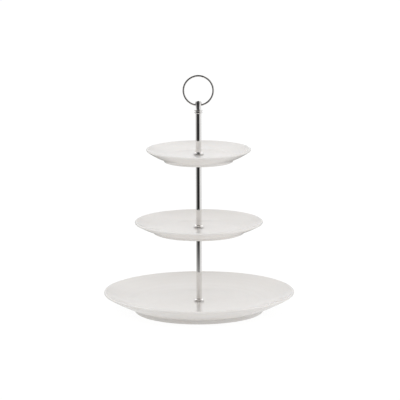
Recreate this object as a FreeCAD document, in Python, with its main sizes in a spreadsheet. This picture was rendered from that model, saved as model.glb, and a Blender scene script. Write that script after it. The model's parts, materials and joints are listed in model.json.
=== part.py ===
"""Three-tier cake stand: three glazed plates on a rod that screws together, with a ring to carry it by.

Millimetres, +Z up. The origin is the centre of the bottom plate's foot, on the table.
The pieces stack along the Z axis, so each one is drawn from its own base and lifted to its level.
"""
import FreeCAD, Part
import Sketcher

import math
import os
import re

NO_VOLUME = 1e-6  # cubic millimetres

# Driving dimensions: sheet alias and value.
PLATE_SIZES = {
    "bottom": {
        "rim_radius": 135.0, "rim_height": 28.0, "floor_height": 13.0, "floor_thickness": 5.5,
        "well_radius": 75.0, "foot_radius": 91.6, "foot_height": 5.4,
        "flank_radius": 114.5, "flank_height": 14.7,
    },
    "middle": {
        "rim_radius": 90.6, "rim_height": 16.3, "floor_height": 6.8, "floor_thickness": 4.3,
        "well_radius": 50.0, "foot_radius": 64.2, "foot_height": 2.5,
        "flank_radius": 79.5, "flank_height": 8.4,
    },
    "top": {
        "rim_radius": 73.7, "rim_height": 18.0, "floor_height": 9.5, "floor_thickness": 4.3,
        "well_radius": 42.0, "foot_radius": 48.6, "foot_height": 2.9,
        "flank_radius": 63.5, "flank_height": 9.4,
    },
}
SHARED_SIZES = {
    # plates
    "lip_radius": 1.4,
    "foot_land": 3.2,
    "foot_edge": 0.8,
    "recess_corner": 1.6,
    "plate_hole_radius": 4.0,
    # rods
    "rod_radius": 4.0,
    "tube_bore_radius": 3.2,
    "tube_edge": 0.3,
    "lower_rod_length": 96.5,
    "middle_rod_length": 94.5,
    "upper_rod_length": 55.0,
    "insert_radius": 3.18,
    "insert_length": 12.0,
    # screw threads, M5 with 0.8 pitch
    "thread_radius": 2.5,
    "thread_pitch": 0.8,
    "thread_depth": 0.43,
    "thread_opening": 0.6,
    "thread_turns": 9,
    "thread_engagement": 8.0,
    "stud_tip": 0.5,
    "tapped_radius": 2.55,
    "tapped_depth": 9.5,
    "tapped_edge": 0.4,
    # clamping stack at each plate
    "clamp_hole_radius": 2.65,
    "pad_radius": 6.2,
    "pad_thickness": 0.6,
    "gasket_radius": 8.5,
    "gasket_thickness": 1.0,
    "washer_radius": 8.0,
    "washer_thickness": 1.0,
    "washer_edge": 0.25,
    "soft_edge": 0.12,
    "collar_radius": 7.25,
    "collar_height": 3.4,
    "collar_rim": 0.8,
    "collar_top_radius": 4.3,
    "collar_top_band": 0.5,
    "collar_dome_radius": 6.35,
    "collar_dome_height": 2.15,
    # screw under the bottom plate
    "head_radius": 4.75,
    "head_height": 2.6,
    "head_side": 1.0,
    "head_flat_radius": 2.9,
    "drive_width": 1.1,
    "drive_length": 5.0,
    "drive_depth": 1.5,
    # finial
    "spigot_length": 9.0,
    "bead_gap_radius": 4.6,
    "lower_bead_radius": 5.7,
    "lower_bead_base": 0.15,
    "lower_bead_top": 2.45,
    "upper_bead_radius": 5.6,
    "upper_bead_base": 3.3,
    "upper_bead_top": 5.5,
    "neck_radius": 3.45,
    "neck_height": 7.2,
    "ball_radius": 4.6,
    "ball_height": 14.4,
    "shoulder_drop": 1.0,
    "eye_height": 11.7,
    "eye_reach": 6.0,
    "eye_clearance": 0.1,
    # ring
    "ring_radius": 20.9,
    "wire_radius": 1.45,
}
# Each plate, the rod that stands on it and the plate above.
TIERS = [("bottom", "lower", "middle"), ("middle", "middle", "top"), ("top", "upper", None)]
# Directions in degrees round the lip's section: where the flank meets it, its crest, where the well begins.
LIP_ANGLES = {"flank": -57, "crest": 30, "well": 120}

doc = FreeCAD.newDocument("tiered_cake_stand")
pieces = []


def fill_sheet():
    """One row for each driving dimension: its name, then its value under an alias of that name."""
    sheet = doc.addObject("Spreadsheet::Sheet", "dims")
    sizes = dict(SHARED_SIZES)
    for tier, plate in PLATE_SIZES.items():
        for name, size in plate.items():
            sizes[f"{tier}_{name}"] = size
    for row, (name, size) in enumerate(sizes.items(), start=1):
        sheet.set(f"A{row}", name)
        sheet.set(f"B{row}", str(size))
        sheet.setAlias(f"B{row}", name)
    doc.recompute()
    return sheet


def bound(text):
    """The same sum, with each name read from the sheet."""
    return re.sub(r"[a-z]\w*", r"dims.\g<0>", text)


def size_of(text):
    return float(dims.evalExpression(bound(text)))


def around(across, up, radius, degrees):
    """The point of a circle in one direction from its centre."""
    turn = math.radians(degrees)
    return f"{across} + {radius} * {math.cos(turn):.4f}", f"{up} + {radius} * {math.sin(turn):.4f}"


def new_body(name, level):
    """An empty body whose base stands at a level of the stack."""
    body = doc.addObject("PartDesign::Body", name)
    body.Label = name
    body.setExpression("Placement.Base.z", bound(level))
    pieces.append(body)
    return body


def new_sketch(body, name, plane, lift="0"):
    """A sketch on one of the body's origin planes, moved up its own vertical by lift."""
    sketch = body.newObject("Sketcher::SketchObject", name)
    support = [feature for feature in body.Origin.OriginFeatures if feature.Role == plane]
    sketch.AttachmentSupport = (support[0], [""])
    sketch.MapMode = "FlatFace"
    if lift != "0":
        sketch.setExpression("AttachmentOffset.Base.y", bound(lift))
    return sketch


def pin_point(sketch, edge, end, across, up):
    """Holds one end of an edge at its two distances from the sketch's origin, each read from the sheet."""
    for kind, text, axis in (("DistanceX", across, -2), ("DistanceY", up, -1)):
        if text == "0":
            sketch.addConstraint(Sketcher.Constraint("PointOnObject", edge, end, axis))
            continue
        rule = Sketcher.Constraint(kind, -1, 1, edge, end, size_of(text))
        number = sketch.addConstraint(rule)
        sketch.setExpression(f"Constraints[{number}]", bound(text))


def draw_outline(sketch, corners):
    """A closed outline. A corner is (across, up), or (across, up, via) where an arc through via follows."""
    places = [FreeCAD.Vector(size_of(corner[0]), size_of(corner[1]), 0) for corner in corners]
    ends = []
    for number, corner in enumerate(corners):
        start, finish = places[number], places[(number + 1) % len(places)]
        if len(corner) == 2:
            edge = sketch.addGeometry(Part.LineSegment(start, finish), False)
        else:
            across, up = corner[2]
            middle = FreeCAD.Vector(size_of(across), size_of(up), 0)
            edge = sketch.addGeometry(Part.Arc(start, middle, finish), False)
            guide = sketch.addGeometry(Part.Point(middle), True)
            pin_point(sketch, guide, 1, across, up)
            sketch.addConstraint(Sketcher.Constraint("PointOnObject", guide, 1, edge))
        forward = (sketch.getPoint(edge, 1) - start).Length < (sketch.getPoint(edge, 2) - start).Length
        ends.append((edge, 1, 2) if forward else (edge, 2, 1))
    for number, (edge, first, last) in enumerate(ends):
        after, after_first, _ = ends[(number + 1) % len(ends)]
        sketch.addConstraint(Sketcher.Constraint("Coincident", edge, last, after, after_first))
        pin_point(sketch, edge, first, corners[number][0], corners[number][1])


def turned_body(name, level, corners):
    """A body of revolution about Z, from the outline of its right half."""
    body = new_body(name, level)
    sketch = new_sketch(body, f"{name}_outline", "XZ_Plane")
    draw_outline(sketch, corners)
    turning = body.newObject("PartDesign::Revolution", f"{name}_turning")
    turning.Profile = sketch
    turning.ReferenceAxis = (sketch, ["V_Axis"])
    turning.Angle = 360
    doc.recompute()
    return body


def must_cut(body, volume_before):
    """Stops the build if the last feature took nothing off the body."""
    doc.recompute()
    if volume_before - body.Shape.Volume < NO_VOLUME:
        raise RuntimeError(f"the last cut of {body.Label} removes nothing")


def cut_thread(body, lowest):
    """V-shaped rings round the stud, one for each turn of the thread, from the lowest ring up."""
    volume = body.Shape.Volume
    name = body.Label
    sketch = new_sketch(body, f"{name}_thread_outline", "XZ_Plane")
    draw_outline(sketch, [
        ("thread_radius - thread_depth", lowest),
        ("thread_radius + thread_depth", f"{lowest} - thread_opening"),
        ("thread_radius + thread_depth", f"{lowest} + thread_opening"),
    ])
    groove = body.newObject("PartDesign::Groove", f"{name}_thread_ring")
    groove.Profile = sketch
    groove.ReferenceAxis = (sketch, ["V_Axis"])
    groove.Angle = 360
    must_cut(body, volume)
    volume = body.Shape.Volume
    rings = body.newObject("PartDesign::LinearPattern", f"{name}_thread")
    rings.Originals = [groove]
    rings.Direction = (sketch, ["V_Axis"])
    rings.setExpression("Length", bound("thread_pitch * (thread_turns - 1)"))
    rings.setExpression("Occurrences", bound("thread_turns"))
    body.Tip = rings
    must_cut(body, volume)


def make_plate(tier, level):
    """A coupe plate: flat well, curved side, rounded lip, and a foot ring around a shallow recess."""
    rim, height = f"{tier}_rim_radius", f"{tier}_rim_height"
    floor, well = f"{tier}_floor_height", f"{tier}_well_radius"
    foot, foot_top = f"{tier}_foot_radius", f"{tier}_foot_height"
    flank = (f"{tier}_flank_radius", f"{tier}_flank_height")
    underside = f"{floor} - {tier}_floor_thickness"
    lip = {
        part: around(f"{rim} - lip_radius", f"{height} - lip_radius", "lip_radius", degrees)
        for part, degrees in LIP_ANGLES.items()
    }
    # the arc of the well's side leaves the flat floor without a break
    reach = f"({lip['well'][0]} - {well})"
    rise = f"({lip['well'][1]} - {floor})"
    bend = f"(({reach} ^ 2 + {rise} ^ 2) / (2 * {rise}))"
    well_side = (f"{well} + {reach} / 2", f"{floor} + {bend} - ({bend} ^ 2 - {reach} ^ 2 / 4) ^ 0.5")
    turned_body(f"{tier}_plate", level, [
        ("plate_hole_radius", underside),
        (f"{foot} - foot_land - recess_corner", underside),
        (f"{foot} - foot_land", f"{underside} - recess_corner"),
        (f"{foot} - foot_land + foot_edge / 2", "0"),
        (f"{foot} - foot_edge", "0"),
        (foot, "foot_edge"),
        (f"{foot} + foot_edge", foot_top, flank),
        (*lip["flank"], lip["crest"]),
        (*lip["well"], well_side),
        (well, floor),
        ("plate_hole_radius", floor),
    ])


def make_disc(name, level, radius, thickness, edge):
    """A flat ring around the screw, with a small bevel on its outer edges."""
    turned_body(name, level, [
        ("clamp_hole_radius", "0"),
        (f"{radius} - {edge}", "0"),
        (radius, edge),
        (radius, f"{thickness} - {edge}"),
        (f"{radius} - {edge}", thickness),
        ("clamp_hole_radius", thickness),
    ])


def make_collar(name, level):
    """The domed washer between a plate and the rod that stands on it."""
    turned_body(name, level, [
        ("clamp_hole_radius", "0"),
        ("collar_radius", "0"),
        ("collar_radius", "collar_rim", ("collar_dome_radius", "collar_dome_height")),
        ("collar_top_radius", "collar_height - collar_top_band"),
        ("collar_top_radius", "collar_height"),
        ("clamp_hole_radius", "collar_height"),
    ])


def make_tube(rod, level):
    """The rod's outer tube, with its ends bevelled."""
    name = f"{rod}_rod_tube"
    length = f"{rod}_rod_length"
    turned_body(name, level, [
        ("tube_bore_radius", "0"),
        ("rod_radius - tube_edge", "0"),
        ("rod_radius", "tube_edge"),
        ("rod_radius", f"{length} - tube_edge"),
        ("rod_radius - tube_edge", length),
        ("tube_bore_radius", length),
    ])


def make_tapped_insert(name, level, mouth, closed):
    """A plug pressed into a tube, tapped from its mouth. Heights run from 0 to insert_length."""
    inward = "tapped_depth" if mouth == "0" else "insert_length - tapped_depth"
    bevel = "tapped_edge" if mouth == "0" else "insert_length - tapped_edge"
    turned_body(name, level, [
        ("tapped_radius + tapped_edge", mouth),
        ("insert_radius", mouth),
        ("insert_radius", closed),
        ("0", closed),
        ("0", inward),
        ("tapped_radius", inward),
        ("tapped_radius", bevel),
    ])


def make_stud(rod, level, reach):
    """A plug pressed into the foot of a rod, with a threaded stud that reaches down through the plate."""
    body = turned_body(f"{rod}_rod_stud", level, [
        ("0", f"-({reach})"),
        ("thread_radius - stud_tip", f"-({reach})"),
        ("thread_radius", f"stud_tip - ({reach})"),
        ("thread_radius", "0"),
        ("insert_radius", "0"),
        ("insert_radius", "insert_length"),
        ("0", "insert_length"),
    ])
    cut_thread(body, f"stud_tip + thread_pitch - ({reach})")


def make_base_screw(level, reach):
    """The pan-head screw that holds the bottom plate: head downwards, with a cross drive."""
    name = "base_screw"
    body = turned_body(name, level, [
        ("0", "0"),
        ("head_flat_radius", "0", ("head_radius * 0.86", "(head_height - head_side) * 0.42")),
        ("head_radius", "head_height - head_side"),
        ("head_radius", "head_height"),
        ("thread_radius", "head_height"),
        ("thread_radius", f"head_height + {reach} - stud_tip"),
        ("thread_radius - stud_tip", f"head_height + {reach}"),
        ("0", f"head_height + {reach}"),
    ])
    cut_thread(body, f"head_height + {reach} - stud_tip - thread_pitch * thread_turns")
    volume = body.Shape.Volume
    sketch = new_sketch(body, f"{name}_drive_outline", "XY_Plane")
    draw_outline(sketch, [
        ("-drive_length / 2", "-drive_width / 2"),
        ("drive_length / 2", "-drive_width / 2"),
        ("drive_length / 2", "drive_width / 2"),
        ("-drive_length / 2", "drive_width / 2"),
    ])
    slot = body.newObject("PartDesign::Pocket", f"{name}_drive_slot")
    slot.Profile = sketch
    slot.Reversed = True
    slot.setExpression("Length", bound("drive_depth"))
    must_cut(body, volume)
    cross = body.newObject("PartDesign::PolarPattern", f"{name}_drive")
    cross.Originals = [slot]
    cross.Axis = (sketch, ["N_Axis"])
    cross.Angle = 180
    cross.Occurrences = 2
    body.Tip = cross
    must_cut(body, volume)


def make_finial(level):
    """The turned end piece: a spigot in the rod, two beads, and a neck that widens to a ball with an eye."""
    name = "finial"
    shoulder = "(ball_radius ^ 2 - shoulder_drop ^ 2) ^ 0.5"
    body = turned_body(name, level, [
        ("0", "-spigot_length"),
        ("insert_radius", "-spigot_length"),
        ("insert_radius", "0"),
        ("bead_gap_radius", "0"),
        ("bead_gap_radius", "lower_bead_base",
         ("lower_bead_radius", "(lower_bead_base + lower_bead_top) / 2")),
        ("bead_gap_radius", "lower_bead_top"),
        ("bead_gap_radius", "upper_bead_base",
         ("upper_bead_radius", "(upper_bead_base + upper_bead_top) / 2")),
        ("bead_gap_radius", "upper_bead_top",
         ("neck_radius + (bead_gap_radius - neck_radius) * 0.25",
          "upper_bead_top + (neck_height - upper_bead_top) * 0.4")),
        ("neck_radius", "neck_height"),
        (shoulder, "ball_height - shoulder_drop", ("ball_radius", "ball_height")),
        ("0", "ball_height + ball_radius"),
    ])
    # the eye widens outwards as the ring's curve does, so the ring can swing all the way round in it
    volume = body.Shape.Volume
    sketch = new_sketch(body, f"{name}_eye_outline", "XZ_Plane", "eye_height")
    throat = "wire_radius + eye_clearance"
    mouth = f"{throat} + ring_radius - (ring_radius ^ 2 - eye_reach ^ 2) ^ 0.5"
    draw_outline(sketch, [
        ("-eye_reach", "0"),
        ("eye_reach", "0"),
        ("eye_reach", mouth, ("0", throat)),
        ("-eye_reach", mouth),
    ])
    eye = body.newObject("PartDesign::Groove", f"{name}_eye")
    eye.Profile = sketch
    eye.ReferenceAxis = (sketch, ["H_Axis"])
    eye.Angle = 360
    must_cut(body, volume)


def make_ring(level):
    """The carrying ring: round wire that stands upright in the finial's eye, in the XZ plane."""
    ring = doc.addObject("Part::Torus", "ring_handle")
    ring.Label = "ring_handle"
    ring.setExpression("Radius1", bound("ring_radius"))
    ring.setExpression("Radius2", bound("wire_radius"))
    ring.Placement.Rotation = FreeCAD.Rotation(FreeCAD.Vector(1, 0, 0), 90)
    ring.setExpression("Placement.Base.z", bound(f"{level} + ring_radius"))
    pieces.append(ring)


def build_stand():
    """Stacks the tiers from the table up. Each level is a sum of sheet sizes."""
    foot = "0"
    for tier, rod, tier_above in TIERS:
        floor = f"{foot} + {tier}_floor_height"
        gasket = f"{floor} - {tier}_floor_thickness - gasket_thickness"
        washer = f"{gasket} - washer_thickness"
        collar = f"{floor} + pad_thickness"
        rod_foot = f"{collar} + collar_height"
        rod_top = f"{rod_foot} + {rod}_rod_length"
        grip = f"washer_thickness + gasket_thickness + {tier}_floor_thickness + pad_thickness + collar_height"
        stud_length = f"{grip} + thread_engagement"
        make_plate(tier, foot)
        make_disc(f"{tier}_under_washer", washer, "washer_radius", "washer_thickness", "washer_edge")
        make_disc(f"{tier}_under_gasket", gasket, "gasket_radius", "gasket_thickness", "soft_edge")
        make_disc(f"{tier}_collar_pad", floor, "pad_radius", "pad_thickness", "soft_edge")
        make_collar(f"{tier}_collar", collar)
        make_tube(rod, rod_foot)
        if foot == "0":
            make_base_screw(f"{washer} - head_height", stud_length)
            make_tapped_insert(f"{rod}_rod_foot_insert", rod_foot, "0", "insert_length")
        else:
            make_stud(rod, rod_foot, stud_length)
        if tier_above:
            make_tapped_insert(f"{rod}_rod_head_insert", f"{rod_top} - insert_length", "insert_length", "0")
            foot = (f"{rod_top} + washer_thickness + gasket_thickness"
                    f" + {tier_above}_floor_thickness - {tier_above}_floor_height")
        else:
            make_finial(rod_top)
            make_ring(f"{rod_top} + eye_height")


def check_document():
    for item in doc.Objects:
        if "Invalid" in item.State or "Error" in item.State:
            raise RuntimeError(f"{item.Label} failed: {item.State}")
    for piece in pieces:
        if piece.Shape.isNull() or not piece.Shape.isValid():
            raise RuntimeError(f"{piece.Label} has no valid shape")
        if len(piece.Shape.Solids) != 1:
            raise RuntimeError(f"{piece.Label} is not one solid")


def export_pieces():
    os.makedirs("parts", exist_ok=True)
    for piece in pieces:
        piece.Shape.exportStep(os.path.join("parts", f"{piece.Label}.step"))


dims = fill_sheet()
build_stand()
doc.recompute()
check_document()
export_pieces()
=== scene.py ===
"""Tiered cake stand: the looks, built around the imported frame. Metres, +Z up, same frame as the CAD."""

import json
import math

import bmesh
import bpy
from mathutils import Matrix, Vector


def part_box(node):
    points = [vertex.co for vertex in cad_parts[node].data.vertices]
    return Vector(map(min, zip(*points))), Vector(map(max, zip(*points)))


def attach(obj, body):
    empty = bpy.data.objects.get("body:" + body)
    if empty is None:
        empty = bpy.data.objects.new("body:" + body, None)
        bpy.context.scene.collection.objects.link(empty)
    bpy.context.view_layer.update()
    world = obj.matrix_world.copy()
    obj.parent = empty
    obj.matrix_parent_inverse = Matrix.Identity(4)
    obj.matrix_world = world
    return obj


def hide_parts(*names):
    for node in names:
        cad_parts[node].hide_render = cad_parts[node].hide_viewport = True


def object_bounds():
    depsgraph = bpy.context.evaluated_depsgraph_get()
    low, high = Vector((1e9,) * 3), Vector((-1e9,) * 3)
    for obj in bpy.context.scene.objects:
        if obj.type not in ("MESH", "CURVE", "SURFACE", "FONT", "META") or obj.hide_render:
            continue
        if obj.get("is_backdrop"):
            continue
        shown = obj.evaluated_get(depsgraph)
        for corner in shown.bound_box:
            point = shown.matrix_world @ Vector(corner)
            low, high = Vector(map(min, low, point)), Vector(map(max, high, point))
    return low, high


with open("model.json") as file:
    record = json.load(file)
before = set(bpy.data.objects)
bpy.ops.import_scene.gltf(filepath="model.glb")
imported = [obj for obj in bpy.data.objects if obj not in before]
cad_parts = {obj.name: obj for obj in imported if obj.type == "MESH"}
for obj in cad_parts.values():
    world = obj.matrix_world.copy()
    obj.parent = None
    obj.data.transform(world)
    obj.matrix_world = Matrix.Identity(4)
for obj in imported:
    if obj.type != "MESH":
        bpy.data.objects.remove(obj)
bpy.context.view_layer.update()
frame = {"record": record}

MM = 0.001
TIERS = ("bottom", "middle", "top")
RODS = ("lower", "middle", "upper")
BODY_OF = {node: body for body, members in frame["record"]["behaviour"]["bodies"].items() for node in members}


# ---------------------------------------------------------------- outlines

def arc_points(start, via, end, steps):
    """Points of the circle through three points, from start to end, both included."""
    (ax, ay), (bx, by), (cx, cy) = start, via, end
    span = 2 * (ax * (by - cy) + bx * (cy - ay) + cx * (ay - by))
    a2, b2, c2 = ax * ax + ay * ay, bx * bx + by * by, cx * cx + cy * cy
    ox = (a2 * (by - cy) + b2 * (cy - ay) + c2 * (ay - by)) / span
    oy = (a2 * (cx - bx) + b2 * (ax - cx) + c2 * (bx - ax)) / span
    radius = math.hypot(ax - ox, ay - oy)
    first, middle, last = (math.atan2(y - oy, x - ox) for x, y in (start, via, end))
    sweep = (last - first) % math.tau
    if (middle - first) % math.tau > sweep:
        sweep -= math.tau
    turns = [first + sweep * step / steps for step in range(steps + 1)]
    return [(ox + radius * math.cos(turn), oy + radius * math.sin(turn)) for turn in turns]


def rounded(corners, steps=5):
    """An open outline from (across, up, radius) corners, each corner rounded by an arc of its radius."""
    points = []
    for number, (x, y, radius) in enumerate(corners):
        if radius == 0 or number in (0, len(corners) - 1):
            points.append((x, y))
            continue
        here = Vector((x, y))
        back = Vector(corners[number - 1][:2]) - here
        ahead = Vector(corners[number + 1][:2]) - here
        half = back.angle(ahead) / 2
        cut = min(radius / math.tan(half), back.length * 0.49, ahead.length * 0.49)
        start, end = here + back.normalized() * cut, here + ahead.normalized() * cut
        inward = (back.normalized() + ahead.normalized()).normalized()
        via = here + inward * (cut / math.cos(half) - cut * math.tan(half))
        points += arc_points(tuple(start), tuple(via), tuple(end), steps)
    return points


def even_line(start, end, step):
    """Points from start to end, about step apart, both included."""
    a, b = Vector(start), Vector(end)
    count = max(1, round((b - a).length / step))
    return [tuple(a.lerp(b, number / count)) for number in range(count + 1)]


# ---------------------------------------------------------------- meshes

def finish_mesh(name, mesh_data, body, nodes, materials, crease=None):
    """Turns a bmesh into a smooth piece that rides on a body and stands for CAD nodes."""
    bmesh.ops.remove_doubles(mesh_data, verts=mesh_data.verts, dist=1e-7)
    bmesh.ops.recalc_face_normals(mesh_data, faces=mesh_data.faces)
    mesh = bpy.data.meshes.new(name)
    mesh_data.to_mesh(mesh)
    mesh_data.free()
    for material in materials:
        mesh.materials.append(material)
    mesh.polygons.foreach_set("use_smooth", [True] * len(mesh.polygons))
    if crease:
        mesh.set_sharp_from_angle(angle=math.radians(crease))
    piece = bpy.data.objects.new(name, mesh)
    bpy.context.scene.collection.objects.link(piece)
    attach(piece, body)
    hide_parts(*nodes)
    return piece


def turn_outline(mesh_data, outline, segments, closed=True, swell=None, material_of=None):
    """Turns an outline of (radius, height) about Z.

    swell(radius, height, angle) gives each point's radius, and material_of(radius, height) each face's slot.
    """
    rings = []
    for radius, height in outline:
        ring = []
        for segment in range(segments if radius > 1e-7 else 1):
            angle = math.tau * segment / segments
            reach = swell(radius, height, angle) if swell else radius
            ring.append(mesh_data.verts.new((reach * math.cos(angle), reach * math.sin(angle), height)))
        rings.append(ring)
    pairs = list(zip(rings, rings[1:]))
    if closed:
        pairs.append((rings[-1], rings[0]))
    for lower, upper in pairs:
        for segment in range(segments):
            after = (segment + 1) % segments
            corners = [lower[segment % len(lower)], lower[after % len(lower)],
                       upper[after % len(upper)], upper[segment % len(upper)]]
            corners = [corner for number, corner in enumerate(corners) if corner not in corners[:number]]
            if len(corners) > 2:
                face = mesh_data.faces.new(corners)
                if material_of:
                    middle = face.calc_center_median()
                    face.material_index = material_of(math.hypot(middle.x, middle.y), middle.z)


def scaled(outline, base):
    """An outline in millimetres, moved up to a base height and turned into metres."""
    return [(x * MM, y * MM + base) for x, y in outline]


def turned_piece(name, outline, body, slot, nodes, materials, segments=96, crease=None, **extra):
    mesh_data = bmesh.new()
    turn_outline(mesh_data, outline, segments, **extra)
    return finish_mesh(name, mesh_data, body, nodes, materials, crease)


def cut_away(piece, cutter_data, crease):
    """Cuts a closed bmesh out of a piece, and leaves no modifier or cutter behind."""
    cutter_mesh = bpy.data.meshes.new("cutter")
    bmesh.ops.recalc_face_normals(cutter_data, faces=cutter_data.faces)
    cutter_data.to_mesh(cutter_mesh)
    cutter_data.free()
    cutter = bpy.data.objects.new("cutter", cutter_mesh)
    bpy.context.scene.collection.objects.link(cutter)
    cut = piece.modifiers.new("cut", "BOOLEAN")
    cut.operation = "DIFFERENCE"
    cut.solver = "EXACT"
    cut.object = cutter
    bpy.context.view_layer.update()
    graph = bpy.context.evaluated_depsgraph_get()
    mesh = bpy.data.meshes.new_from_object(piece.evaluated_get(graph))
    piece.modifiers.remove(cut)
    uncut, name = piece.data, piece.data.name
    piece.data = mesh
    bpy.data.objects.remove(cutter)
    bpy.data.meshes.remove(cutter_mesh)
    bpy.data.meshes.remove(uncut)
    mesh.name = name
    mesh.polygons.foreach_set("use_smooth", [True] * len(mesh.polygons))
    mesh.set_sharp_from_angle(angle=math.radians(crease))


# ---------------------------------------------------------------- material nodes

def grey(value):
    return (value, value, value, 1)


class Nodes:
    """A material or world node tree, with short calls for the nodes used here."""

    def __init__(self, tree):
        self.tree = tree
        self.tree.nodes.clear()

    def add(self, kind, inputs=None, **settings):
        node = self.tree.nodes.new(kind)
        for name, value in settings.items():
            setattr(node, name, value)
        for name, value in (inputs or {}).items():
            if isinstance(value, bpy.types.NodeSocket):
                self.tree.links.new(value, node.inputs[name])
            else:
                node.inputs[name].default_value = value
        return node

    def math(self, operation, first, second=0.0):
        return self.add("ShaderNodeMath", {0: first, 1: second}, operation=operation).outputs[0]

    def noise(self, vector, scale, detail=2.0, roughness=0.5):
        inputs = {"Vector": vector, "Scale": scale, "Detail": detail, "Roughness": roughness}
        return self.add("ShaderNodeTexNoise", inputs).outputs["Fac"]

    def lines(self, along, scale, detail=3.0):
        """Noise that changes in one direction only."""
        inputs = {"W": self.math("MULTIPLY", along, scale), "Scale": 1.0, "Detail": detail}
        return self.add("ShaderNodeTexNoise", inputs, noise_dimensions="1D").outputs["Fac"]

    def ramp(self, factor, stops):
        """A colour ramp; each stop is (place, grey) or (place, colour)."""
        node = self.add("ShaderNodeValToRGB", {"Fac": factor})
        bar = node.color_ramp
        for number, (place, value) in enumerate(stops):
            stop = bar.elements[number] if number < 2 else bar.elements.new(place)
            stop.position = place
            stop.color = grey(value) if isinstance(value, float) else (*value, 1)
        return node.outputs["Color"]

    def stretch(self, factor, low, high, first=0.0, last=1.0):
        inputs = {"Value": factor, "From Min": low, "From Max": high, "To Min": first, "To Max": last}
        return self.add("ShaderNodeMapRange", inputs).outputs["Result"]

    def blend(self, factor, first, second):
        """Mixes two greys or sockets. 6, 7 and 2 are the colour sockets of a Mix node."""
        ends = [grey(value) if isinstance(value, float) else value for value in (first, second)]
        return self.add("ShaderNodeMix", {0: factor, 6: ends[0], 7: ends[1]}, data_type="RGBA").outputs[2]

    def place(self):
        return self.add("ShaderNodeTexCoord").outputs["Object"]

    def axes(self, vector):
        return self.add("ShaderNodeSeparateXYZ", {"Vector": vector}).outputs

    def distance_from_rod(self, vector):
        x, y, _ = self.axes(vector)
        return self.math("SQRT", self.math("ADD", self.math("MULTIPLY", x, x), self.math("MULTIPLY", y, y)))

    def bump(self, height, strength, distance):
        inputs = {"Height": height, "Strength": strength, "Distance": distance}
        return self.add("ShaderNodeBump", inputs).outputs["Normal"]

    def surface(self, inputs):
        shader = self.add("ShaderNodeBsdfPrincipled", inputs)
        self.add("ShaderNodeOutputMaterial", {"Surface": shader.outputs["BSDF"]})


def new_material(name):
    material = bpy.data.materials.new(name)
    material.use_nodes = True
    return material, Nodes(material.node_tree)


def porcelain_glaze():
    """White glaze: faint cloudiness, faint throwing rings round the rod, and a very fine orange peel."""
    material, n = new_material("porcelain_glaze")
    place = n.place()
    radius = n.distance_from_rod(place)
    rings = n.lines(radius, 150.0, 2.0)
    cloud = n.noise(place, 14.0, 2.0)
    shade = n.math("ADD", n.math("MULTIPLY", cloud, 0.6), n.math("MULTIPLY", rings, 0.4))
    peel = n.noise(place, 260.0, 1.0)
    relief = n.math("ADD", rings, n.math("MULTIPLY", peel, 0.05))
    n.surface({
        "Base Color": n.ramp(shade, [(0.35, (0.892, 0.867, 0.842)), (0.65, (0.912, 0.891, 0.869))]),
        "Roughness": n.stretch(n.noise(place, 40.0, 3.0), 0.3, 0.7, 0.14, 0.20),
        "IOR": 1.46,
        "Subsurface Weight": 0.08,
        "Subsurface Radius": (0.004, 0.0035, 0.003),
        "Subsurface Scale": 1.0,
        "Normal": n.bump(relief, 0.35, 0.00003),
    })
    return material


def bare_biscuit():
    """The unglazed land of the foot ring: matt, a little warmer, with fine grit and scuffs from tables."""
    material, n = new_material("bare_biscuit")
    place = n.place()
    grit = n.noise(place, 1900.0, 4.0, 0.65)
    scuff = n.noise(place, 90.0, 5.0, 0.6)
    n.surface({
        "Base Color": n.ramp(scuff, [(0.35, (0.68, 0.64, 0.58)), (0.62, (0.80, 0.775, 0.73))]),
        "Roughness": n.stretch(grit, 0.3, 0.7, 0.72, 0.9),
        "Normal": n.bump(grit, 0.6, 0.00008),
    })
    return material


def polished_chrome(name, line_scale):
    """Chrome plate: near mirror, with faint polishing lines, smudges all over, and a slight ripple."""
    material, n = new_material(name)
    place = n.place()
    smudge = n.noise(place, 130.0, 4.0, 0.6)
    lines = n.lines(n.axes(place)["Z"], line_scale)
    relief = n.math("ADD", n.math("MULTIPLY", lines, 0.35), n.noise(place, 240.0, 2.0))
    n.surface({
        "Base Color": n.ramp(smudge, [(0.3, (0.835, 0.820, 0.805)), (0.7, (0.895, 0.880, 0.865))]),
        "Metallic": 1.0,
        "Roughness": n.stretch(smudge, 0.35, 0.75, 0.035, 0.09),
        "Normal": n.bump(relief, 0.25, 0.00002),
    })
    return material


def zinc_steel():
    """Zinc-plated steel of screws, studs and washers: turned marks and a mottled, duller plating."""
    material, n = new_material("zinc_steel")
    place = n.place()
    mottle = n.noise(place, 700.0, 5.0, 0.6)
    marks = n.lines(n.distance_from_rod(place), 9000.0)
    n.surface({
        "Base Color": n.ramp(mottle, [(0.3, (0.50, 0.50, 0.49)), (0.7, (0.66, 0.66, 0.655))]),
        "Metallic": 1.0,
        "Roughness": n.stretch(mottle, 0.3, 0.7, 0.24, 0.42),
        "Normal": n.bump(marks, 0.5, 0.00002),
    })
    return material


def gasket_rubber():
    """Black rubber with a grey bloom."""
    material, n = new_material("gasket_rubber")
    place = n.place()
    grain = n.noise(place, 2600.0, 3.0)
    bloom = n.noise(place, 260.0, 4.0)
    n.surface({
        "Base Color": n.ramp(bloom, [(0.35, (0.018, 0.018, 0.018)), (0.75, (0.05, 0.049, 0.047))]),
        "Roughness": n.stretch(bloom, 0.3, 0.7, 0.55, 0.8),
        "Normal": n.bump(grain, 0.4, 0.00003),
    })
    return material


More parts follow.
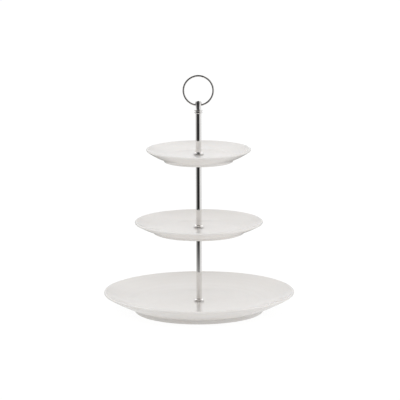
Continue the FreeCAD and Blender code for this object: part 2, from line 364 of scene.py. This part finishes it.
def pad_plastic():
    """Milky soft plastic of the pads under the collars."""
    material, n = new_material("pad_plastic")
    haze = n.noise(n.place(), 500.0, 3.0)
    n.surface({
        "Base Color": n.ramp(haze, [(0.3, (0.72, 0.72, 0.70)), (0.7, (0.80, 0.80, 0.78))]),
        "Roughness": n.stretch(haze, 0.3, 0.7, 0.35, 0.5),
        "Transmission Weight": 0.25,
        "IOR": 1.45,
        "Normal": n.bump(haze, 0.3, 0.00002),
    })
    return material


GLAZE = porcelain_glaze()
BISCUIT = bare_biscuit()
CHROME_TUBE = polished_chrome("chrome_tube", 900.0)
CHROME_TURNED = polished_chrome("chrome_turned", 5200.0)
CHROME_WIRE = polished_chrome("chrome_wire", 300.0)
ZINC = zinc_steel()
RUBBER = gasket_rubber()
PAD = pad_plastic()


# ---------------------------------------------------------------- plates

# Millimetres above each plate's foot, and radii. flank is a point half way up the outer side.
PLATE_SHAPES = {
    "bottom": {"floor": 13.0, "thickness": 5.5, "well": 75.0, "foot": 91.6, "foot_top": 5.4,
               "flank": (114.5, 14.7)},
    "middle": {"floor": 6.8, "thickness": 4.3, "well": 50.0, "foot": 64.2, "foot_top": 2.5,
               "flank": (79.5, 8.4)},
    "top": {"floor": 9.5, "thickness": 4.3, "well": 42.0, "foot": 48.6, "foot_top": 2.9,
            "flank": (63.5, 9.4)},
}
LIP_RADIUS = 1.4
# Degrees round the lip's section, from its centre: where the flank meets it, a point on it, its inner end.
FLANK_END, LIP_VIA, LIP_END = -57, 30, 120
HOLE_RADIUS, HOLE_EDGE = 4.0, 0.4
# The foot ring: the width it stands on, how far its inner and outer sides lean, and the height left unglazed.
FOOT_LAND, FOOT_LEAN_IN, FOOT_LEAN_OUT, UNGLAZED = 3.2, 1.2, 0.8, 0.35
LAND_MARGIN = 0.2
SIDE_STEPS = 44


def plate_outline(tier):
    """Half section of a plate, from its hole's lower edge round the rim to its hole's upper edge."""
    low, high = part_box(f"{tier}_plate")
    rim, height = high.x / MM, (high.z - low.z) / MM
    shape = PLATE_SHAPES[tier]
    floor_height, foot, foot_top = shape["floor"], shape["foot"], shape["foot_top"]
    underside = floor_height - shape["thickness"]

    def on_lip(degrees):
        turn = math.radians(degrees)
        across, up = rim - LIP_RADIUS, height - LIP_RADIUS
        return across + LIP_RADIUS * math.cos(turn), up + LIP_RADIUS * math.sin(turn)

    under_foot = rounded([
        (HOLE_RADIUS, underside + HOLE_EDGE, 0),
        (HOLE_RADIUS, underside, 0.3),
        (foot - FOOT_LAND - FOOT_LEAN_IN, underside, 1.5),
        (foot - FOOT_LAND, 0.0, 0.7),
        (foot, 0.0, 0.8),
        (foot + FOOT_LEAN_OUT, foot_top, 0),
    ], steps=6)
    flank = arc_points((foot + FOOT_LEAN_OUT, foot_top), shape["flank"], on_lip(FLANK_END), 40)
    lip = arc_points(on_lip(FLANK_END), on_lip(LIP_VIA), on_lip(LIP_END), 20)
    reach, rise = lip[-1][0] - shape["well"], lip[-1][1] - floor_height
    bend = (reach ** 2 + rise ** 2) / (2 * rise)
    side = []
    for step in range(1, SIDE_STEPS + 1):
        across = reach * (1 - step / SIDE_STEPS)
        side.append((shape["well"] + across, floor_height + bend - math.sqrt(bend ** 2 - across ** 2)))
    well = even_line((shape["well"], floor_height), (HOLE_RADIUS + HOLE_EDGE, floor_height), 3.0)
    hole = [(HOLE_RADIUS + 0.1, floor_height - 0.1), (HOLE_RADIUS, floor_height - HOLE_EDGE)]
    return scaled(under_foot + flank[1:] + lip[1:] + side + well[1:] + hole, low.z)


def plate(tier):
    low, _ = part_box(f"{tier}_plate")
    land_inner = (PLATE_SHAPES[tier]["foot"] - FOOT_LAND) * MM

    def unglazed(radius, height):
        on_land = height < low.z + UNGLAZED * MM and radius > land_inner - LAND_MARGIN * MM
        return 1 if on_land else 0

    turned_piece(f"{tier}_plate_glazed", plate_outline(tier), BODY_OF[f"{tier}_plate"], "porcelain",
                 [f"{tier}_plate"], [GLAZE, BISCUIT], segments=256, material_of=unglazed)


# ---------------------------------------------------------------- fittings on the rod

CLAMP_HOLE = 2.65
BORE = 3.2
PLUG = 3.18
THREAD, PITCH, THREAD_DEPTH = 2.5, 0.8, 0.43
TAPPED, TAPPED_DEPTH, TAPPED_GROOVE = 2.55, 9.5, 0.3
PLUG_LENGTH = 12.0
TIP = 0.5
STUD_THREAD, SCREW_TURNS = 10.0, 9.5
SAME_RADIUS = 0.02
# A collar: the height of its rim, a point on its dome, and the seat's radius and height.
COLLAR_RIM, COLLAR_DOME = 0.8, (6.35, 2.15)
SEAT, SEAT_HEIGHT = 4.3, 0.5


def disc(node, label, slot, material, softness):
    """A flat ring with rounded edges: a washer, gasket or pad."""
    low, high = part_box(node)
    hole, middle = CLAMP_HOLE * MM, (low.z + high.z) / 2
    outline = rounded([
        (hole, middle, 0),
        (hole, low.z, softness * MM),
        (high.x, low.z, softness * MM),
        (high.x, high.z, softness * MM),
        (hole, high.z, softness * MM),
        (hole, middle, 0),
    ])
    turned_piece(f"{node}_{label}", outline[:-1], BODY_OF[node], slot, [node], [material], segments=72)


def collar(tier):
    """The domed collar under a rod: a short upright rim, a domed side and a raised seat for the rod."""
    node = f"{tier}_collar"
    low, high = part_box(node)
    foot, top = high.x / MM, (high.z - low.z) / MM
    seat_base = top - SEAT_HEIGHT
    rim = [(CLAMP_HOLE, 0.3, 0), (CLAMP_HOLE, 0.0, 0.15), (foot, 0.0, 0.25), (foot, COLLAR_RIM, 0)]
    raised = [(SEAT, seat_base + 0.05, 0), (SEAT, top, 0.22)]
    bore = [(CLAMP_HOLE, top, 0.2), (CLAMP_HOLE, seat_base, 0)]
    dome = arc_points((foot, COLLAR_RIM), COLLAR_DOME, (SEAT, seat_base), 16)
    outline = rounded(rim) + dome[1:] + rounded(raised + bore)
    turned_piece(f"{node}_dome", scaled(outline, low.z), BODY_OF[node], "chrome", [node], [CHROME_TURNED],
                 crease=50)


def tube(rod):
    """A polished tube with eased ends; rings every 6 mm keep its faces short."""
    node = f"{rod}_rod_tube"
    low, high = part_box(node)
    outer, length = high.x / MM, (high.z - low.z) / MM
    foot = [(BORE, 0.5, 0), (BORE, 0.0, 0.15), (outer, 0.0, 0.3), (outer, 1.0, 0)]
    head = [(outer, length - 1.0, 0), (outer, length, 0.3), (BORE, length, 0.15), (BORE, length - 0.5, 0)]
    outline = rounded(foot) + even_line((outer, 1.2), (outer, length - 1.2), 6.0) + rounded(head)
    turned_piece(f"{node}_polished", scaled(outline, low.z), BODY_OF[node], "chrome", [node], [CHROME_TUBE])


def helix(start, end, base):
    """A swell that cuts a right-handed V thread between two heights, faded in over one turn at each end."""
    def swell(radius, height, angle):
        up = (height - base) / MM
        if abs(radius - THREAD * MM) > SAME_RADIUS * MM or not start <= up <= end:
            return radius
        phase = (up / PITCH - angle / math.tau) % 1.0
        groove = max(0.0, 1.0 - abs(2.0 * phase - 1.0) * 1.15)
        fade = min(1.0, (up - start) / PITCH, (end - up) / PITCH)
        return radius - THREAD_DEPTH * MM * groove * fade
    return swell


def thread_lines(start, end):
    """The shank's side, in lines fine enough for a thread."""
    return even_line((THREAD, start), (THREAD, end), PITCH / 10)


def stud(rod):
    """A plug in the rod's foot with a threaded shank that reaches down through the plate."""
    node = f"{rod}_rod_stud"
    low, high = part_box(node)
    plug_base = high.z - PLUG_LENGTH * MM
    foot = (low.z - plug_base) / MM
    outline = (
        rounded([(0.0, foot, 0), (2.0, foot, 0.15), (THREAD, foot + TIP, 0)])
        + thread_lines(foot + TIP + 0.05, -0.05)
        + rounded([(THREAD, 0.0, 0), (PLUG, 0.0, 0.1), (PLUG, PLUG_LENGTH, 0.3), (0.0, PLUG_LENGTH, 0)])
    )
    turned_piece(f"{node}_threaded", scaled(outline, plug_base), BODY_OF[node], "steel", [node], [ZINC],
                 segments=48, crease=40, closed=False,
                 swell=helix(foot + TIP, foot + TIP + STUD_THREAD, plug_base))


def insert(node, mouth_up):
    """A tapped plug in a rod's end. The thread inside it is cut to the hole's true depth."""
    low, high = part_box(node)
    length = (high.z - low.z) / MM
    tap = [(0.0, length - TAPPED_DEPTH), (TAPPED, length - TAPPED_DEPTH)]
    outline = (
        tap
        + even_line((TAPPED, length - TAPPED_DEPTH + 0.1), (TAPPED, length - 0.5), PITCH / 10)
        + [(TAPPED, length - 0.4), (TAPPED + 0.4, length), (PLUG - 0.05, length), (PLUG, length - 0.05)]
        + rounded([(PLUG, 0.5, 0), (PLUG, 0.0, 0.3), (0.0, 0.0, 0)])
    )

    def tapped(radius, height, angle):
        if abs(radius - TAPPED * MM) > SAME_RADIUS * MM:
            return radius
        phase = (height / (PITCH * MM) - angle / math.tau) % 1.0
        return radius + TAPPED_GROOVE * MM * abs(2.0 * phase - 1.0)

    if mouth_up:
        placed = scaled(outline, low.z)
    else:
        placed = [(x * MM, high.z - y * MM) for x, y in outline]
    turned_piece(f"{node}_tapped", placed, BODY_OF[node], "steel", [node], [ZINC],
                 segments=48, crease=40, closed=False, swell=tapped)


def base_screw():
    """The pan-head screw under the bottom plate: domed head with a cross drive, and a threaded shank."""
    low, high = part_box("base_screw")
    reach = (high.z - low.z) / MM
    head, head_height = high.x / MM, 2.6
    crown, crown_foot = (head * 0.86, 0.67), (head, 1.6)
    outline = (
        [(0.0, 0.0), (2.5, 0.0)]
        + arc_points((2.9, 0.02), crown, crown_foot, 8)
        + rounded([(head, 1.7, 0), (head, head_height, 0.12), (THREAD, head_height, 0)])
        + thread_lines(head_height + 0.1, reach - TIP - 0.05)
        + rounded([(THREAD, reach - TIP, 0), (2.0, reach, 0.15), (0.0, reach, 0)])
    )
    thread_start = reach - TIP - PITCH * SCREW_TURNS
    screw = turned_piece("base_screw_pan_head", scaled(outline, low.z), BODY_OF["base_screw"], "steel",
                         ["base_screw"], [ZINC], segments=64, crease=40, closed=False,
                         swell=helix(thread_start, reach - TIP, low.z))
    for crosswise in (False, True):
        cut_away(screw, drive_arm(low.z, crosswise), 40)


def drive_arm(level, crosswise):
    """A cutter for one arm of the cross drive, narrowing as it goes up into the head."""
    cutter = bmesh.new()
    loops = []
    # half length, half width and height of its mouth, then of its end in the head
    for length, width, up in ((2.5, 0.55, -0.5), (1.25, 0.4, 1.5)):
        corners = [(-length, -width), (length, -width), (length, width), (-length, width)]
        if crosswise:
            corners = [(-y, x) for x, y in corners]
        loops.append([cutter.verts.new((x * MM, y * MM, level + up * MM)) for x, y in corners])
        cutter.faces.new(loops[-1])
    mouth, end = loops
    for number in range(4):
        after = (number + 1) % 4
        cutter.faces.new([mouth[number], mouth[after], end[after], end[number]])
    return cutter


def finial():
    """Spigot, two beads, and a neck that widens to a ball, with the eye cut through for the ring."""
    low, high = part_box("finial")
    spigot, gap, beads_top = 9.0, 4.6, 5.5
    neck, neck_height = 3.45, 7.2
    ball, eye_height = 4.6, 11.7
    base = low.z + spigot * MM
    ball_height = (high.z - base) / MM - ball
    shoulder, shoulder_height = math.sqrt(ball ** 2 - 1.0), ball_height - 1.0
    fillet = (neck + (gap - neck) * 0.25, beads_top + (neck_height - beads_top) * 0.4)

    def bead(reach, middle, half):
        return arc_points((gap, middle - half), (reach, middle), (gap, middle + half), 12)

    outline = (
        rounded([(0.0, -spigot, 0), (PLUG, -spigot, 0.4), (PLUG, 0.0, 0)])
        + [(gap - 0.3, 0.0), (gap, 0.08)]
        + bead(5.7, 1.3, 1.15)
        + [(gap, 2.9)]
        + bead(5.6, 4.4, 1.1)
        + arc_points((gap, beads_top), fillet, (neck, neck_height), 12)[1:]
        + even_line((neck, neck_height), (shoulder, shoulder_height), 0.8)[1:]
        + arc_points((shoulder, shoulder_height), (ball, ball_height), (0.0, ball_height + ball), 30)[1:]
    )
    piece = turned_piece("finial_turned", scaled(outline, base), BODY_OF["finial"], "chrome", ["finial"],
                         [CHROME_TURNED], closed=False)
    cut_away(piece, eye_cutter(base + eye_height * MM), 35)


def eye_cutter(height):
    """An hourglass along X that follows the ring's curve."""
    low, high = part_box("ring_handle")
    wire = (high.y - low.y) / 2 / MM
    ring_radius = (high.x - low.x) / 2 / MM - wire
    clearance, reach, steps = 0.1, 6.0, 24
    profile = []
    for step in range(-steps, steps + 1):
        along = reach * step / steps
        radius = wire + clearance + ring_radius - math.sqrt(ring_radius ** 2 - along ** 2)
        profile.append((radius * MM, along * MM))
    cutter = bmesh.new()
    turn_outline(cutter, [(0.0, profile[0][1])] + profile + [(0.0, profile[-1][1])], 64, closed=False)
    about_x = Matrix.Rotation(math.radians(90), 4, "Y")
    bmesh.ops.transform(cutter, matrix=Matrix.Translation((0, 0, height)) @ about_x, verts=cutter.verts)
    return cutter


def ring():
    """The carrying ring: round wire in the XZ plane."""
    low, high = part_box("ring_handle")
    centre = (low + high) / 2
    wire = (high.y - low.y) / 2
    radius = (high.x - low.x) / 2 - wire
    mesh_data = bmesh.new()
    around, across = 192, 32
    loops = []
    for step in range(around):
        turn = math.tau * step / around
        loop = []
        for part in range(across):
            tilt = math.tau * part / across
            reach = radius + wire * math.cos(tilt)
            spot = Vector((reach * math.sin(turn), wire * math.sin(tilt), reach * math.cos(turn)))
            loop.append(mesh_data.verts.new(centre + spot))
        loops.append(loop)
    for here, after in zip(loops, loops[1:] + loops[:1]):
        for part in range(across):
            follow = (part + 1) % across
            mesh_data.faces.new([here[part], here[follow], after[follow], after[part]])
    finish_mesh("ring_wire", mesh_data, BODY_OF["ring_handle"], ["ring_handle"], [CHROME_WIRE])


for tier in TIERS:
    plate(tier)
    collar(tier)
    disc(f"{tier}_under_washer", "zinc", "steel", ZINC, 0.25)
    disc(f"{tier}_under_gasket", "rubber", "gasket", RUBBER, 0.3)
    disc(f"{tier}_collar_pad", "soft", "pad", PAD, 0.2)
for rod in RODS:
    tube(rod)
base_screw()
insert("lower_rod_foot_insert", mouth_up=False)
insert("lower_rod_head_insert", mouth_up=True)
stud("middle")
insert("middle_rod_head_insert", mouth_up=True)
stud("upper")
finial()
ring()


# ---------------------------------------------------------------- stage

def sheet(name, reach, drop, seen_by, inputs=None, fade=None):
    """A level square under the stand that only some kinds of ray can see."""
    mesh = bpy.data.meshes.new(name)
    corners = [(-reach, -reach, 0), (reach, -reach, 0), (reach, reach, 0), (-reach, reach, 0)]
    mesh.from_pydata(corners, [], [(0, 1, 2, 3)])
    material, n = new_material(name)
    if fade:
        fade(n)
    else:
        n.surface({"Roughness": 0.9, "Specular IOR Level": 0.0, **inputs})
    material.cycles.emission_sampling = "NONE"
    mesh.materials.append(material)
    plane = bpy.data.objects.new(name, mesh)
    plane.location.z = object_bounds()[0][2] - drop
    for kind in ("camera", "diffuse", "glossy", "transmission", "shadow"):
        setattr(plane, f"visible_{kind}", kind in seen_by)
    bpy.context.scene.collection.objects.link(plane)
    plane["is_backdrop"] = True


def table_glow(n):
    """The white table as polished metal sees it: it thins out into the dark room away from the stand."""
    reach = n.distance_from_rod(n.place())
    cover = n.ramp(reach, [(0.14, 0.75), (0.20, 0.50), (0.30, 0.25), (0.39, 0.12), (0.50, 0.02)])
    table = n.add("ShaderNodeEmission", {"Color": (0.9, 0.9, 0.9, 1), "Strength": 1.0})
    clear = n.add("ShaderNodeBsdfTransparent")
    both = n.add("ShaderNodeMixShader", {0: cover, 1: clear.outputs[0], 2: table.outputs[0]})
    n.add("ShaderNodeOutputMaterial", {"Surface": both.outputs[0]})


def floor():
    """A white floor for the lens, one that lights the undersides, and the table as metal sees it."""
    sheet("floor", 30.0, 0.0002, {"camera"}, {
        "Base Color": (0.12, 0.12, 0.119, 1),
        "Emission Color": (1, 1, 1, 1),
        "Emission Strength": 0.93,
    })
    sheet("floor_bounce", 3.0, 0.0004, {"diffuse"}, {
        "Base Color": (0.60, 0.595, 0.585, 1),
        "Emission Color": (1, 0.99, 0.97, 1),
        "Emission Strength": 0.12,
    })
    sheet("floor_glow", 0.55, 0.0003, {"glossy"}, fade=table_glow)


def studio():
    """A white studio. Only mirror rays see the dark room round the camera, and the strip light up behind."""
    world = bpy.data.worlds.new("studio")
    bpy.context.scene.world = world
    world.use_nodes = True
    n = Nodes(world.node_tree)
    x, y, z = n.axes(n.add("ShaderNodeTexCoord").outputs["Generated"])
    bearing = n.math("ARCTAN2", x, n.math("MULTIPLY", y, -1.0))
    turn = n.stretch(bearing, -math.pi, math.pi)

    # places on these ramps: 0 and 1 behind the stand, 0.25 left, 0.5 at the camera, 0.75 right
    below_horizon = n.ramp(turn, [
        (0.00, 0.06), (0.07, 0.06), (0.12, 0.90), (0.17, 0.90), (0.23, 0.34), (0.31, 0.26),
        (0.35, 0.03), (0.50, 0.01), (0.56, 0.03), (0.62, 0.45), (0.69, 0.82), (0.84, 0.95),
        (0.88, 0.90), (0.93, 0.06), (1.00, 0.06),
    ])
    above_horizon = n.ramp(turn, [
        (0.00, 1.05), (0.02, 0.98), (0.05, 0.80), (0.17, 0.65), (0.24, 0.40), (0.31, 0.28),
        (0.35, 0.04), (0.57, 0.04), (0.63, 0.50), (0.72, 0.85), (0.83, 0.75), (0.95, 0.72),
        (0.98, 0.90), (1.00, 1.05),
    ])
    overhead = n.ramp(turn, [
        (0.00, 1.55), (0.10, 1.45), (0.20, 0.50), (0.32, 0.05), (0.57, 0.05), (0.70, 0.60),
        (0.80, 0.80), (0.90, 1.45), (1.00, 1.55),
    ])
    mirrored = n.blend(n.stretch(z, -0.06, 0.06), below_horizon, above_horizon)
    mirrored = n.blend(n.stretch(z, 0.30, 0.60), mirrored, overhead)
    mirrored = n.blend(n.stretch(z, 0.88, 0.93), mirrored, 0.10)
    mirrored = n.blend(n.stretch(z, -0.80, -0.95), mirrored, 0.35)

    around = n.ramp(turn, [
        (0.00, 0.82), (0.25, 0.58), (0.42, 0.70), (0.56, 0.76), (0.70, 0.80), (0.85, 0.84), (1.00, 0.82),
    ])
    ceiling = n.ramp(turn, [(0.00, 0.72), (0.25, 0.72), (0.50, 1.20), (0.75, 0.78), (1.00, 0.72)])
    spread = n.blend(n.stretch(z, 0.20, 0.50), around, ceiling)

    rays = n.add("ShaderNodeLightPath").outputs
    seen = n.blend(rays["Is Glossy Ray"], spread, mirrored)
    seen = n.blend(rays["Is Camera Ray"], seen, 1.0)
    room = n.add("ShaderNodeBackground", {"Color": seen, "Strength": 1.0})
    n.add("ShaderNodeOutputWorld", {"Surface": room.outputs[0]})


def camera():
    """A long lens, a little above the rims and turned down to the stand."""
    data = bpy.data.cameras.new("camera")
    data.sensor_width = 36.0
    data.lens = 271.8
    data.clip_end = 100.0
    eye = bpy.data.objects.new("camera", data)
    place, aim = Vector((0.0, -4.2, 0.9556)), Vector((0.0018, 0.0, 0.1595))
    look = (aim - place).to_track_quat("-Z", "Y").to_matrix().to_4x4()
    roll = Matrix.Rotation(math.radians(-0.22), 4, "Z")
    eye.matrix_world = Matrix.Translation(place) @ look @ roll
    bpy.context.scene.collection.objects.link(eye)
    bpy.context.scene.camera = eye


floor()
studio()
camera()
bpy.context.scene.view_settings.view_transform = "Standard"
